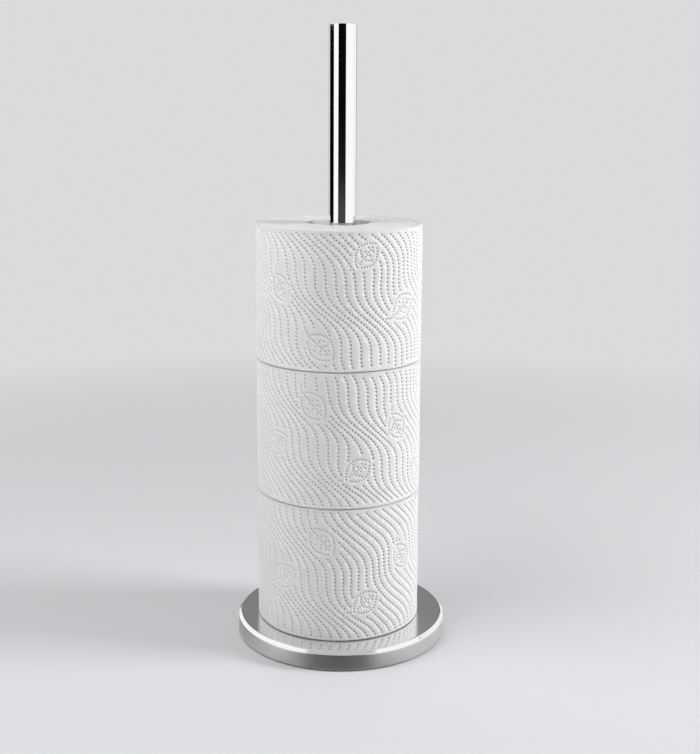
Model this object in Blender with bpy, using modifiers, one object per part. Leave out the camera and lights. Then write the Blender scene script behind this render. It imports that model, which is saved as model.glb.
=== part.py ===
"""Freestanding toilet paper holder with three spare rolls, as separate pieces.

World frame: metres, +Z up. The origin is on the floor, under the middle of the
round base. The photograph looks along +Y and a little down.
"""

import math

import bmesh
import bpy
from mathutils import Matrix, Vector
from mathutils.geometry import delaunay_2d_cdt

# Clearances
GAP = 0.0003
CUT_OVERRUN = 0.001

# Whole stand
STAND_HEIGHT = 0.435
BASE_RADIUS = 0.0755
BASE_HEIGHT = 0.014

# Pressed base cover
COVER_SHEET = 0.001
COVER_CHAMFER = 0.0024
COVER_EDGE_ROUND = 0.00025
SKIRT_FLOOR_GAP = 0.001

# Cast weight and floor pad
WEIGHT_EDGE_ROUND = 0.0008
TOOL_ROOM = 0.005
PAD_THICKNESS = 0.002
PAD_INSET = 0.0022
PAD_HOLE_MARGIN = 0.001

# Pole
POLE_RADIUS = 0.0095
POLE_WALL = 0.001
POLE_END_ROUND = 0.0003
INSERT_LENGTH = 0.025
INSERT_CHAMFER = 0.0008
CAP_LENGTH = 0.01
CAP_WALL = 0.0012
CAP_EDGE_ROUND = 0.0004

# M6 button-head screw with its washers
SCREW_RADIUS = 0.003
SCREW_HEAD_RADIUS = 0.00525
SCREW_HEAD_HEIGHT = 0.0033
SCREW_HEAD_RIM = 0.0006
SCREW_FACE_RADIUS = 0.0029
SCREW_TIP_CHAMFER = 0.0006
SCREW_REACH = 0.014
SCREW_FLOOR_CLEARANCE = 0.0012
SOCKET_ACROSS_FLATS = 0.004
SOCKET_DEPTH = 0.002
WASHER_RADIUS = 0.009
WASHER_THICKNESS = 0.0012
SPRING_WASHER_RADIUS = 0.0059
SPRING_WASHER_THICKNESS = 0.0016
SPRING_SLOT_WIDTH = 0.0009
SPRING_SLOT_SLANT = math.radians(20)

# Rolls
ROLL_NAMES = ("bottom", "middle", "top")
ROLL_RADIUS = 0.059
ROLL_HEIGHT = 0.095
ROLL_OFFSET_X = -0.0022
ROLL_EDGE_ROUND = 0.0009
SHEET_STEP = 0.0004
CORE_BORE_RADIUS = 0.022
CORE_WALL = 0.0006
FREE_END_ANGLES = (math.radians(64), math.radians(118), math.radians(93))

# Leaves pressed into the rolls' outer sheet, listed from the free end round the roll:
# height as a share of the flat side, length, width, and turn from level in degrees
LARGE_LEAF = (0.023, 0.0165)
SMALL_LEAF = (0.020, 0.015)
LEAVES = (
    (0.76, *LARGE_LEAF, -48),
    (0.28, *SMALL_LEAF, 36),
    (0.58, *SMALL_LEAF, -62),
    (0.17, *LARGE_LEAF, -40),
    (0.83, *SMALL_LEAF, 50),
    (0.44, *LARGE_LEAF, 34),
)
LEAF_TURNS_ROUND = 2
LEAF_DEPTH = 0.00035
LEAF_FLOOR_SHARE = 0.72
LEAF_FULLNESS = 0.75
LEAF_SIDE_POINTS = 5
LEAF_CLEARANCE = 0.004

# Fineness of the round shapes
BASE_SEGMENTS = 96
HIDDEN_SEGMENTS = 48
POLE_SEGMENTS = 64
FASTENER_SEGMENTS = 32
ROLL_SEGMENTS = 72
SIDE_ROWS = 7
ROUND_STEPS = 3
MERGE_DISTANCE = 0.00001
SHARP_ANGLE = math.radians(35)

# Heights and radii that follow from the sizes above
BORE_RADIUS = SCREW_RADIUS + GAP
WEIGHT_RADIUS = BASE_RADIUS - COVER_SHEET - GAP
WEIGHT_BOTTOM_Z = PAD_THICKNESS + GAP
WEIGHT_TOP_Z = BASE_HEIGHT - COVER_SHEET - GAP
RECESS_RADIUS = WASHER_RADIUS + TOOL_ROOM
SPRING_WASHER_Z = SCREW_FLOOR_CLEARANCE + SCREW_HEAD_HEIGHT + GAP
WASHER_Z = SPRING_WASHER_Z + SPRING_WASHER_THICKNESS + GAP
RECESS_CEILING_Z = WASHER_Z + WASHER_THICKNESS + GAP
POLE_BOTTOM_Z = BASE_HEIGHT + GAP
POLE_LENGTH = STAND_HEIGHT - POLE_BOTTOM_Z
PLUG_RADIUS = POLE_RADIUS - POLE_WALL - GAP
PAPER_BORE_RADIUS = CORE_BORE_RADIUS + CORE_WALL + GAP
ROLL_GIRTH = 2 * math.pi * ROLL_RADIUS
ROLL_SIDE_HEIGHT = ROLL_HEIGHT - 2 * ROLL_EDGE_ROUND


def clear_scene():
    for old in list(bpy.data.objects):
        bpy.data.objects.remove(old, do_unlink=True)


def new_collection(name):
    collection = bpy.data.collections.new(name)
    bpy.context.scene.collection.children.link(collection)
    return collection


def principled(name, colour, roughness, metallic):
    """A plain Principled material."""
    material = bpy.data.materials.new(name)
    material.use_nodes = True
    shader = material.node_tree.nodes["Principled BSDF"]
    shader.inputs["Base Color"].default_value = (*colour, 1.0)
    shader.inputs["Roughness"].default_value = roughness
    shader.inputs["Metallic"].default_value = metallic
    return material


def satin_steel():
    return principled("satin_steel", (0.56, 0.56, 0.57), 0.32, 1.0)


def polished_chrome():
    return principled("polished_chrome", (0.88, 0.88, 0.89), 0.05, 1.0)


def grey_iron():
    return principled("grey_iron", (0.09, 0.09, 0.10), 0.65, 0.6)


def black_foam_rubber():
    return principled("black_foam_rubber", (0.02, 0.02, 0.022), 0.85, 0.0)


def zinc_steel():
    return principled("zinc_steel", (0.62, 0.63, 0.65), 0.38, 1.0)


def white_tissue():
    return principled("white_tissue", (0.86, 0.86, 0.87), 0.92, 0.0)


def grey_cardboard():
    return principled("grey_cardboard", (0.55, 0.49, 0.42), 0.9, 0.0)


def rounded(corners):
    """The outline through (radius, height, rounding) corners, each rounded by an arc."""
    outline = []
    for index, (radius, height, rounding) in enumerate(corners):
        corner = Vector((radius, height))
        if rounding == 0:
            outline.append(corner)
            continue
        behind = Vector(corners[index - 1][:2]) - corner
        ahead = Vector(corners[(index + 1) % len(corners)][:2]) - corner
        half_angle = behind.angle(ahead) / 2
        inward = (behind.normalized() + ahead.normalized()).normalized()
        centre = corner + inward * rounding / math.sin(half_angle)
        reach = rounding / math.tan(half_angle)
        start = corner + behind.normalized() * reach - centre
        end = corner + ahead.normalized() * reach - centre
        for step in range(ROUND_STEPS + 1):
            outline.append(centre + start.slerp(end, step / ROUND_STEPS) * rounding)
    return outline


def turned(name, outline, segments, material, collection):
    """An outline of (radius, height) points, turned about Z.

    One that starts on the axis also ends there, and any other is closed.
    """
    last = len(outline) - 1
    points = [(radius, 0, height) for radius, height in outline]
    edges = [(index, index + 1) for index in range(last)]
    if outline[0][0] > 0:
        edges.append((last, 0))
    mesh = bpy.data.meshes.new(name)
    mesh.from_pydata(points, edges, [])
    mesh.materials.append(material)
    piece = bpy.data.objects.new(name, mesh)
    collection.objects.link(piece)
    screw = piece.modifiers.new("turn", "SCREW")
    screw.steps = segments
    screw.render_steps = segments
    screw.use_merge_vertices = True
    screw.merge_threshold = MERGE_DISTANCE
    return piece


def cutter_from(name, shape, collection):
    """A hidden tool made from a bmesh."""
    mesh = bpy.data.meshes.new(name)
    shape.to_mesh(mesh)
    shape.free()
    tool = bpy.data.objects.new(name, mesh)
    tool.hide_render = True
    tool.display_type = "WIRE"
    collection.objects.link(tool)
    return tool


def cut(piece, tool):
    boolean = piece.modifiers.new("cut", "BOOLEAN")
    boolean.operation = "DIFFERENCE"
    boolean.solver = "EXACT"
    boolean.object = tool


def settle(piece):
    """Turns a piece's modifiers into its mesh, and smooths the round faces."""
    bpy.context.view_layer.update()
    evaluated = piece.evaluated_get(bpy.context.evaluated_depsgraph_get())
    mesh = bpy.data.meshes.new_from_object(evaluated)
    piece.modifiers.clear()
    piece.data = mesh
    mesh.name = piece.name
    mesh.shade_smooth()
    mesh.set_sharp_from_angle(angle=SHARP_ANGLE)
    return piece


def inset_chamfer(depth):
    """The width of the cover's 45 degree chamfer on a surface that lies this deep under it."""
    return COVER_CHAMFER - (2 - math.sqrt(2)) * depth


def base_pad(collection):
    """Foam rubber disc under the weight, with a hole that leaves the screw free."""
    outer = WEIGHT_RADIUS - PAD_INSET
    hole = RECESS_RADIUS + PAD_HOLE_MARGIN
    corners = [
        (hole, PAD_THICKNESS, 0),
        (outer, PAD_THICKNESS, 0),
        (outer, 0, 0),
        (hole, 0, 0),
    ]
    return settle(turned("base_pad", rounded(corners), HIDDEN_SEGMENTS, black_foam_rubber(), collection))


def base_weight(collection):
    """Cast disc that fills the cover, recessed underneath for the screw head and its washers."""
    top = WEIGHT_TOP_Z - WEIGHT_BOTTOM_Z
    ceiling = RECESS_CEILING_Z - WEIGHT_BOTTOM_Z
    chamfer = inset_chamfer(COVER_SHEET + GAP)
    corners = [
        (BORE_RADIUS, top, 0),
        (WEIGHT_RADIUS - chamfer, top, 0),
        (WEIGHT_RADIUS, top - chamfer, 0),
        (WEIGHT_RADIUS, 0, WEIGHT_EDGE_ROUND),
        (RECESS_RADIUS, 0, 0),
        (RECESS_RADIUS, ceiling, WEIGHT_EDGE_ROUND),
        (BORE_RADIUS, ceiling, 0),
    ]
    weight = turned("base_weight", rounded(corners), HIDDEN_SEGMENTS, grey_iron(), collection)
    weight.location.z = WEIGHT_BOTTOM_Z
    return settle(weight)


def base_cover(collection):
    """Pressed steel cap over the weight: flat top, narrow chamfer, straight skirt, open underneath."""
    top = BASE_HEIGHT - SKIRT_FLOOR_GAP
    ceiling = top - COVER_SHEET
    inner_radius = BASE_RADIUS - COVER_SHEET
    inner_chamfer = inset_chamfer(COVER_SHEET)
    corners = [
        (BORE_RADIUS, top, 0),
        (BASE_RADIUS - COVER_CHAMFER, top, COVER_EDGE_ROUND),
        (BASE_RADIUS, top - COVER_CHAMFER, COVER_EDGE_ROUND),
        (BASE_RADIUS, 0, COVER_EDGE_ROUND),
        (inner_radius, 0, 0),
        (inner_radius, ceiling - inner_chamfer, 0),
        (inner_radius - inner_chamfer, ceiling, 0),
        (BORE_RADIUS, ceiling, 0),
    ]
    cover = turned("base_cover", rounded(corners), BASE_SEGMENTS, satin_steel(), collection)
    cover.location.z = SKIRT_FLOOR_GAP
    return settle(cover)


def base_screw(collection, cutters):
    """Button-head screw that comes up through the base into the pole, with a hexagon socket."""
    tip = POLE_BOTTOM_Z + SCREW_REACH - SCREW_FLOOR_CLEARANCE
    dome_width = SCREW_HEAD_RADIUS - SCREW_FACE_RADIUS
    dome_height = SCREW_HEAD_HEIGHT - SCREW_HEAD_RIM
    outline = [
        (0, tip),
        (SCREW_RADIUS - SCREW_TIP_CHAMFER, tip),
        (SCREW_RADIUS, tip - SCREW_TIP_CHAMFER),
        (SCREW_RADIUS, SCREW_HEAD_HEIGHT),
        (SCREW_HEAD_RADIUS, SCREW_HEAD_HEIGHT),
    ]
    for step in range(ROUND_STEPS + 1):
        angle = step / ROUND_STEPS * math.pi / 2
        radius = SCREW_FACE_RADIUS + dome_width * math.cos(angle)
        outline.append((radius, dome_height * (1 - math.sin(angle))))
    outline.append((0, 0))
    screw = turned("base_screw", outline, FASTENER_SEGMENTS, zinc_steel(), collection)
    socket = bmesh.new()
    bmesh.ops.create_cone(
        socket,
        cap_ends=True,
        segments=6,
        radius1=SOCKET_ACROSS_FLATS / math.sqrt(3),
        radius2=SOCKET_ACROSS_FLATS / math.sqrt(3),
        depth=SOCKET_DEPTH + CUT_OVERRUN,
        matrix=Matrix.Translation((0, 0, (SOCKET_DEPTH - CUT_OVERRUN) / 2)),
    )
    cut(screw, cutter_from("socket_tool", socket, cutters))
    settle(screw)
    screw.location.z = SCREW_FLOOR_CLEARANCE
    return screw


def ring_outline(inner, outer, height):
    return [(inner, height), (outer, height), (outer, 0), (inner, 0)]


def base_washer(collection):
    """Plain washer that spreads the screw's load over the casting."""
    outline = ring_outline(BORE_RADIUS, WASHER_RADIUS, WASHER_THICKNESS)
    washer = turned("base_washer", outline, FASTENER_SEGMENTS, zinc_steel(), collection)
    washer.location.z = WASHER_Z
    return settle(washer)


def base_spring_washer(collection, cutters):
    """Split lock washer under the screw head."""
    outline = ring_outline(BORE_RADIUS, SPRING_WASHER_RADIUS, SPRING_WASHER_THICKNESS)
    washer = turned("base_spring_washer", outline, FASTENER_SEGMENTS, zinc_steel(), collection)
    width = SPRING_WASHER_RADIUS - BORE_RADIUS
    middle = Matrix.Translation(((SPRING_WASHER_RADIUS + BORE_RADIUS) / 2, 0, SPRING_WASHER_THICKNESS / 2))
    slant = Matrix.Rotation(SPRING_SLOT_SLANT, 4, "X")
    size = (width + 2 * CUT_OVERRUN, SPRING_SLOT_WIDTH, SPRING_WASHER_THICKNESS + 2 * CUT_OVERRUN)
    slot = bmesh.new()
    bmesh.ops.create_cube(slot, size=1, matrix=middle @ slant @ Matrix.Diagonal((*size, 1)))
    cut(washer, cutter_from("slot_tool", slot, cutters))
    settle(washer)
    washer.location.z = SPRING_WASHER_Z
    return washer


def pole_tube(collection):
    """Polished tube that stands on the cover."""
    inner = POLE_RADIUS - POLE_WALL
    corners = [
        (inner, POLE_LENGTH, 0),
        (POLE_RADIUS, POLE_LENGTH, POLE_END_ROUND),
        (POLE_RADIUS, 0, 0),
        (inner, 0, 0),
    ]
    tube = turned("pole_tube", rounded(corners), POLE_SEGMENTS, polished_chrome(), collection)
    tube.location.z = POLE_BOTTOM_Z
    return settle(tube)


def pole_insert(collection):
    """Threaded slug fixed in the tube's foot, which takes the screw."""
    corners = [
        (BORE_RADIUS, INSERT_LENGTH, 0),
        (PLUG_RADIUS - INSERT_CHAMFER, INSERT_LENGTH, 0),
        (PLUG_RADIUS, INSERT_LENGTH - INSERT_CHAMFER, 0),
        (PLUG_RADIUS, 0, 0),
        (BORE_RADIUS, 0, 0),
    ]
    insert = turned("pole_insert", rounded(corners), HIDDEN_SEGMENTS, zinc_steel(), collection)
    insert.location.z = POLE_BOTTOM_Z
    return settle(insert)


def pole_cap(collection):
    """Cup-shaped plug pushed into the tube's top end, flush with it."""
    inner = PLUG_RADIUS - CAP_WALL
    underside = CAP_LENGTH - CAP_WALL
    corners = [
        (0, CAP_LENGTH, 0),
        (PLUG_RADIUS, CAP_LENGTH, CAP_EDGE_ROUND),
        (PLUG_RADIUS, 0, 0),
        (inner, 0, 0),
        (inner, underside, 0),
        (0, underside, 0),
    ]
    cap = turned("pole_cap", rounded(corners), POLE_SEGMENTS, polished_chrome(), collection)
    cap.location.z = STAND_HEIGHT - CAP_LENGTH
    return settle(cap)


def core_tube(name, collection):
    """Cardboard tube in the middle of a roll."""
    outline = ring_outline(CORE_BORE_RADIUS, CORE_BORE_RADIUS + CORE_WALL, ROLL_HEIGHT)
    return settle(turned(name, outline, ROLL_SEGMENTS, grey_cardboard(), collection))


def paper_edge_points(outer_radius):
    """(radius, height) points down the outside of the wound paper, with soft corners."""
    points = []
    for corner_height, start in ((ROLL_HEIGHT - ROLL_EDGE_ROUND, math.pi / 2), (ROLL_EDGE_ROUND, 0)):
        for step in range(ROUND_STEPS + 1):
            angle = start - step / ROUND_STEPS * math.pi / 2
            radius = outer_radius - ROLL_EDGE_ROUND + ROLL_EDGE_ROUND * math.cos(angle)
            points.append((radius, corner_height + ROLL_EDGE_ROUND * math.sin(angle)))
    return points


def leaf_loops(place):
    """Outline and floor loops of each leaf, as (distance round, height) points on the unrolled side."""
    count = len(LEAVES) * LEAF_TURNS_ROUND
    for index in range(count):
        height_share, length, width, turn = LEAVES[(index + 2 * place) % len(LEAVES)]
        middle = Vector(((index + 0.5) * ROLL_GIRTH / count, height_share * ROLL_SIDE_HEIGHT))
        lean = Matrix.Rotation(math.radians(turn), 2)
        half = []
        for step in range(LEAF_SIDE_POINTS + 1):
            share = step / LEAF_SIDE_POINTS
            half.append((length * (share - 0.5), width / 2 * math.sin(math.pi * share) ** LEAF_FULLNESS))
        loop = half[:-1] + [(along, -beside) for along, beside in reversed(half[1:])]
        outline = [middle + lean @ Vector(point) for point in loop]
        floor = [middle + (point - middle) * LEAF_FLOOR_SHARE for point in outline]
        yield middle, length / 2, outline, floor


def side_sheet(place):
    """Points (distance round, height, depth) and triangles of the unrolled side with its leaves.

    The first points are those of the lower edge, and then those of the upper edge.
    """
    points = []
    for height in (0, ROLL_SIDE_HEIGHT):
        points += [(column * ROLL_GIRTH / ROLL_SEGMENTS, height, 0) for column in range(ROLL_SEGMENTS + 1)]
    leaves = list(leaf_loops(place))
    for column in range(1, ROLL_SEGMENTS):
        for row in range(1, SIDE_ROWS + 1):
            spot = Vector((column * ROLL_GIRTH / ROLL_SEGMENTS, row * ROLL_SIDE_HEIGHT / (SIDE_ROWS + 1)))
            if all((spot - middle).length > reach + LEAF_CLEARANCE for middle, reach, _, _ in leaves):
                points.append((*spot, 0))
    edges = []
    for _, _, outline, floor in leaves:
        for loop, depth in ((outline, 0), (floor, LEAF_DEPTH)):
            start = len(points)
            points += [(*spot, depth) for spot in loop]
            edges += [(start + step, start + (step + 1) % len(loop)) for step in range(len(loop))]
    flat = [Vector(point[:2]) for point in points]
    found, _, triangles, _, _, _ = delaunay_2d_cdt(flat, edges, [], 0, MERGE_DISTANCE / 10)
    assert len(found) == len(points)
    return points, triangles


def wound_paper(name, place, collection):
    """Wound tissue: the outside follows the spiral of the last sheet, from its free end on +X.

    Its sections are unlike: each lies a little nearer the axis than the one before,
    and the last meets the first in a step as high as the sheet is thick.
    """
    shape = bmesh.new()
    bore_top = []
    bore_bottom = []
    outside = []
    for section in range(ROLL_SEGMENTS + 1):
        turn_share = section / ROLL_SEGMENTS
        angle = turn_share * 2 * math.pi
        across = Vector((math.cos(angle), math.sin(angle), 0))
        up = Vector((0, 0, 1))
        if section < ROLL_SEGMENTS:
            bore_top.append(shape.verts.new(across * PAPER_BORE_RADIUS + up * ROLL_HEIGHT))
            bore_bottom.append(shape.verts.new(across * PAPER_BORE_RADIUS))
        edge_points = paper_edge_points(ROLL_RADIUS - SHEET_STEP * turn_share)
        outside.append([shape.verts.new(across * radius + up * height) for radius, height in edge_points])
    first = outside[0]
    last = outside[-1]
    for section in range(ROLL_SEGMENTS):
        beyond = (section + 1) % ROLL_SEGMENTS
        near = outside[section]
        far = outside[section + 1]
        step_top = [last[0]] if section == 0 else []
        step_bottom = [last[-1]] if section == 0 else []
        shape.faces.new([bore_top[section], *step_top, near[0], far[0], bore_top[beyond]])
        shape.faces.new([bore_bottom[beyond], far[-1], near[-1], *step_bottom, bore_bottom[section]])
        shape.faces.new([bore_top[beyond], bore_bottom[beyond], bore_bottom[section], bore_top[section]])
        for row in range(len(near) - 1):
            if row != ROUND_STEPS:
                shape.faces.new([near[row], near[row + 1], far[row + 1], far[row]])
    sheet_points, triangles = side_sheet(place)
    sheet = [column[ROUND_STEPS + 1] for column in outside] + [column[ROUND_STEPS] for column in outside]
    for distance, height, depth in sheet_points[len(sheet):]:
        angle = distance / ROLL_RADIUS
        radius = ROLL_RADIUS - SHEET_STEP * distance / ROLL_GIRTH - depth
        sheet.append(shape.verts.new((radius * math.cos(angle), radius * math.sin(angle), height + ROLL_EDGE_ROUND)))
    for corners in triangles:
        shape.faces.new([sheet[corner] for corner in corners])
    for row in range(len(first) - 1):
        shape.faces.new([last[row], last[row + 1], first[row + 1], first[row]])
    bmesh.ops.recalc_face_normals(shape, faces=shape.faces)
    mesh = bpy.data.meshes.new(name)
    shape.to_mesh(mesh)
    shape.free()
    mesh.materials.append(white_tissue())
    mesh.shade_smooth()
    mesh.set_sharp_from_angle(angle=SHARP_ANGLE)
    paper = bpy.data.objects.new(name, mesh)
    collection.objects.link(paper)
    return paper


def roll(place, collection):
    """One roll: paper and core, on an empty that stands on the roll's axis."""
    name = ROLL_NAMES[place]
    axis = bpy.data.objects.new("roll_axis_" + name, None)
    collection.objects.link(axis)
    axis.location = (ROLL_OFFSET_X, 0, POLE_BOTTOM_Z + place * (ROLL_HEIGHT + GAP))
    axis.rotation_euler.z = FREE_END_ANGLES[place]
    for piece in (wound_paper("paper_" + name, place, collection), core_tube("core_" + name, collection)):
        piece.parent = axis


def build():
    clear_scene()
    parts = new_collection("toilet_paper_holder")
    cutters = new_collection("cutters")
    base_pad(parts)
    base_weight(parts)
    base_cover(parts)
    base_screw(parts, cutters)
    base_spring_washer(parts, cutters)
    base_washer(parts)
    pole_tube(parts)
    pole_insert(parts)
    pole_cap(parts)
    for place in range(len(ROLL_NAMES)):
        roll(place, parts)


build()
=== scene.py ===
import math
import random

import bpy
import numpy as np
from mathutils import Matrix, Vector
from mathutils.geometry import delaunay_2d_cdt


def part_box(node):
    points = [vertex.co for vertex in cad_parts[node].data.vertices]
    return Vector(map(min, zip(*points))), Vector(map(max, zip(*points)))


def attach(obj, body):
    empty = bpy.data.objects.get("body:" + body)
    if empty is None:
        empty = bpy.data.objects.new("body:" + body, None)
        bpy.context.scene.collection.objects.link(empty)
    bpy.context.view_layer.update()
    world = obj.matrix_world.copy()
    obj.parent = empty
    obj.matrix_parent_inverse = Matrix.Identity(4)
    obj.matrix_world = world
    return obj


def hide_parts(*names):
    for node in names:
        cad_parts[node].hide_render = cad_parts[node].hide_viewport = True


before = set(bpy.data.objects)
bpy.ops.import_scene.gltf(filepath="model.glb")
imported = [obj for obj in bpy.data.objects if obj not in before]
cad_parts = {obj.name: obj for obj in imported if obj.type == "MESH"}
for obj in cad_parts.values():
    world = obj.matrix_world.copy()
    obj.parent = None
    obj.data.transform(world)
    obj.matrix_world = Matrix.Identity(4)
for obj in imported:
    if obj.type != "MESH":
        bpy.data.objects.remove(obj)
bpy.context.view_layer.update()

MM = 0.001

# Camera, found by fitting the outlines of rolls, base and pole in the 700 x 754 photograph
IMAGE_HEIGHT_PX = 754
IMAGE_WIDTH_PX = 700
FOCAL_PX = 1192.1
AXIS_X_PX = 342.0
AXIS_Y_PX = 317.0
CAMERA_BACK = 833.8 * MM
CAMERA_HEIGHT = 380.1 * MM
CAMERA_PITCH = math.radians(10.04)
CAMERA_ROLL = math.radians(0.2)
SENSOR_MM = 36.0
NEAR_CLIP = 0.01

# Studio: light, pale colours, and the cards' brightness and reach
AMBIENT = 0.3
AMBIENT_COLOUR = (0.97, 0.98, 1.0)
BACKGROUND = (0.70, 0.705, 0.72)
FLOOR_COLOUR = (0.72, 0.725, 0.74)
FLOOR_HALF_WIDTH = 12.0
FLOOR_FADE_START = 0.25
FLOOR_FADE_END = 1.0
AIM_HEIGHT = 0.2
WHITE_CARD = 1.07
WHITE_FLOOR = 1.05
REAR_GREY = 0.18
SURROUND_RADIUS = 3.2
SURROUND_HEIGHT = 5.5
SKIRT_RING = 76.5 * MM
FLOOR_RING = 120 * MM
FAR_RING = SURROUND_RADIUS - 0.01
CARD_COLUMNS = 24
FLAT_CARD_COLUMNS = 96
CARD_LIFT = 0.4 * MM
POLE_CARD_LIFT = 0.3 * MM
POLE_CARD_GAP = 0.2 * MM
POLE_CARD_ROWS = 8

# Materials: the middle values that noise mostly has, and the faint gloss of paper
NOISE_LOW = 0.3
NOISE_HIGH = 0.7
PAPER_GLOSS = 0.25

# Sizes read from the frame
COVER_LOW, COVER_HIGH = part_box("base_cover")
TUBE_LOW, TUBE_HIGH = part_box("pole_tube")
CAP_LOW, CAP_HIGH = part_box("pole_cap")
PAD_LOW, PAD_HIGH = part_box("base_pad")
BASE_RADIUS = COVER_HIGH.x
BASE_TOP_Z = COVER_HIGH.z
POLE_RADIUS = TUBE_HIGH.x
POLE_TOP_Z = TUBE_HIGH.z

# Sizes repeated from the part's source
COVER_SHEET = 1.0 * MM
COVER_CHAMFER = 2.4 * MM
SCREW_HOLE_RADIUS = 3.3 * MM
PAD_HOLE_RADIUS = 15.0 * MM
POLE_WALL = 1.0 * MM
CAP_WALL = 1.2 * MM
CORE_WALL = 0.6 * MM
ROLL_RADIUS_MM = 59.0
ROLL_EDGE_MM = 0.9
SHEET_STEP_MM = 0.4
PAPER_BORE_MM = 22.9
ROLLS = ("bottom", "middle", "top")
FREE_END_DEGREES = (64, 118, 93)

# Roundings of the metal and rubber edges
CHAMFER_INNER_ROUND = 1.6 * MM
CHAMFER_OUTER_ROUND = 1.1 * MM
COVER_EDGE_ROUND = 0.3 * MM
TUBE_MOUTH_ROUND = 0.15 * MM
TUBE_END_ROUND = 0.3 * MM
TUBE_FOOT_ROUND = 0.1 * MM
CAP_EDGE_ROUND = 0.4 * MM
CAP_MIDDLE_RADIUS = 0.05 * MM
PAD_EDGE_ROUND = 0.25 * MM

# Dots, in millimetres on the unrolled sheet; the rings inside a dot's rim are shares of its radius
# and of its depth, with a count of points and a turn
DOT_RADIUS = 1.04
DOT_DEPTH = 0.62
DOT_CLEARANCE = 0.14
DOT_EDGE_CLEARANCE = 0.35
DOT_SKEW = (0.14, 0.1)
DOT_RIM_POINTS = 8
DOT_RINGS = ((0.58, 0.66, 6, 0.3), (0.26, 1.0, 3, 0.0))
QUILT_DEPTH = 0.13
QUILT_WIDTH = 1.0

# Painted light and shade on the dots, kept per point: near 0 is a painted highlight on a dot's rim towards
# the light side, the neutral value is plain paper, and 1 or more is painted shade on the far side of its
# floor
DOT_PAINTED_LIGHT_SIDE = math.radians(220)
DOT_RIM_PAINTED_HIGHLIGHT = 0.4
DOT_FLOOR_PAINTED_SHADE = 0.62
PAINTED_SHADING_NEUTRAL = 0.3

# Lines of dots that sway up the sheet and part round the leaves
LINE_SPACING = 6.2
LINE_PITCH = 2.6
LINE_DRIFT = 0.6
LINE_SWAY = 5.0
LINE_PERIOD = 52.0
LINE_LAG = 1.3
LINE_LAG_PER_ROLL = 2.1
LINE_OVERRUN = 6
LINE_STATIONS = 400
LINES_BEFORE = 1
LINES_BEYOND = 14
LEAF_MARGIN = 2.3
LEAF_PUSH = 3.0
LEAF_PUSH_WIDTH = 4
LEAF_REACH = 10.0

# Dots on a leaf: its stem as shares of length and width, its side veins as shares of the length
LEAF_DOT_RADIUS = 0.84
LEAF_DOT_DEPTH = 0.46
LEAF_PITCH = 2.0
LEAF_STEM = ((-0.72, 0.16), (-0.62, 0.05), (-0.42, 0.0), (0.34, 0.0))
LEAF_VEINS = (0.32, 0.52, 0.7)
VEIN_START = 1.0
VEIN_SLANT = 0.7
VEIN_ADVANCE = 0.12
LEAF_EDGE_POINTS = 41
LEAF_SLOPE_STEPS = 15

# Leaves pressed into the sheet, repeated from the part's source: listed from the free end
# round the roll, with height as a share of the flat side, length, width and turn in degrees
LARGE_LEAF = (23.0, 16.5)
SMALL_LEAF = (20.0, 15.0)
LEAVES = (
    (0.76, *LARGE_LEAF, -48),
    (0.28, *SMALL_LEAF, 36),
    (0.58, *SMALL_LEAF, -62),
    (0.17, *LARGE_LEAF, -40),
    (0.83, *SMALL_LEAF, 50),
    (0.44, *LARGE_LEAF, 34),
)
LEAF_TURNS_ROUND = 2
LEAVES_SKIPPED_PER_ROLL = 2
LEAF_DEPTH = 0.35
LEAF_FLOOR_SHARE = 0.72
LEAF_FULLNESS = 0.75

# Wound sheet, in millimetres: how far it lies inside the solid, and its slow waves in and out
ROLL_SEED = 40
SHEET_INSET = 0.25
WAVE_COUNT = 9
WAVE_TURNS = (1, 9)
WAVE_LEAN = 0.09
WAVE_DEPTH = 0.16
WAVE_SHARES = (0.4, 1.0)

# Ends of a roll, in millimetres: the rim's dips, the layers' rings, and the rows round the bore
# as distances outside it and below the face
RIM_STEPS = 4
RIM_DIP = 0.06
RIM_DIP_WAVES = 7
RING_SPACING = 1.1
RING_JITTER = 0.3
RING_DEPTHS = (0.02, 0.2)
RING_ALTERNATE = 0.12
RING_WANDER = 0.25
RING_WANDER_WAVES = (1, 4)
RING_RIPPLE = 0.07
RING_RIPPLE_WAVES = (2, 7)
RING_PHASES = (0, 6.3)
BORE_MARGIN = 1.0
BORE_ROWS = ((0.35, 0.12), (0.0, 0.5))

# Mesh detail of the sheet, with lengths in millimetres
ROLL_COLUMNS = 180
SIDE_EDGE_SPACING = 1.5
FILL_SPACING = 1.75
FILL_CLEARANCE = 0.42
SHEET_MARGIN = 0.9
GAP_BLOCK = 2000
MERGE_DISTANCE = 1e-5

# Cardboard core: the groove between the turns of its spiral ply, as wide as a share of their lead
CORE_COLUMNS = 144
CORE_ROWS = 48
PLY_LEAD = 55 * MM
PLY_GROOVE = 0.12 * MM
PLY_GROOVE_WIDTH = 0.012
PLY_TURN_PER_ROLL = 0.3

# Turned pieces: their axis, the bend that shows as an edge, and points beside long stretches' ends
STAND_AXIS = (0, 0)
SHARP_DEGREES = 50
SUPPORT_SPAN = 1.5 * MM
SUPPORT_GAP = 0.12 * MM


# Mesh helpers

def make_mesh(name, points, faces, materials, smooth=True):
    mesh = bpy.data.meshes.new(name)
    mesh.from_pydata(points, [], faces)
    mesh.update()
    if smooth:
        mesh.shade_smooth()
    for material in materials:
        mesh.materials.append(material)
    piece = bpy.data.objects.new(name, mesh)
    bpy.context.scene.collection.objects.link(piece)
    return piece


def round_axis(centre, radius, angle, height):
    """A point at this radius and angle round the vertical axis through centre."""
    return (centre[0] + radius * math.cos(angle), centre[1] + radius * math.sin(angle), height)


def ring_faces(rows, columns):
    """Faces between closed rows of points, the last row joined to the first."""
    faces = []
    for row in range(rows):
        here = row * columns
        there = (row + 1) % rows * columns
        for column in range(columns):
            beyond = (column + 1) % columns
            faces.append((here + column, there + column, there + beyond, here + beyond))
    return faces


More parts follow.
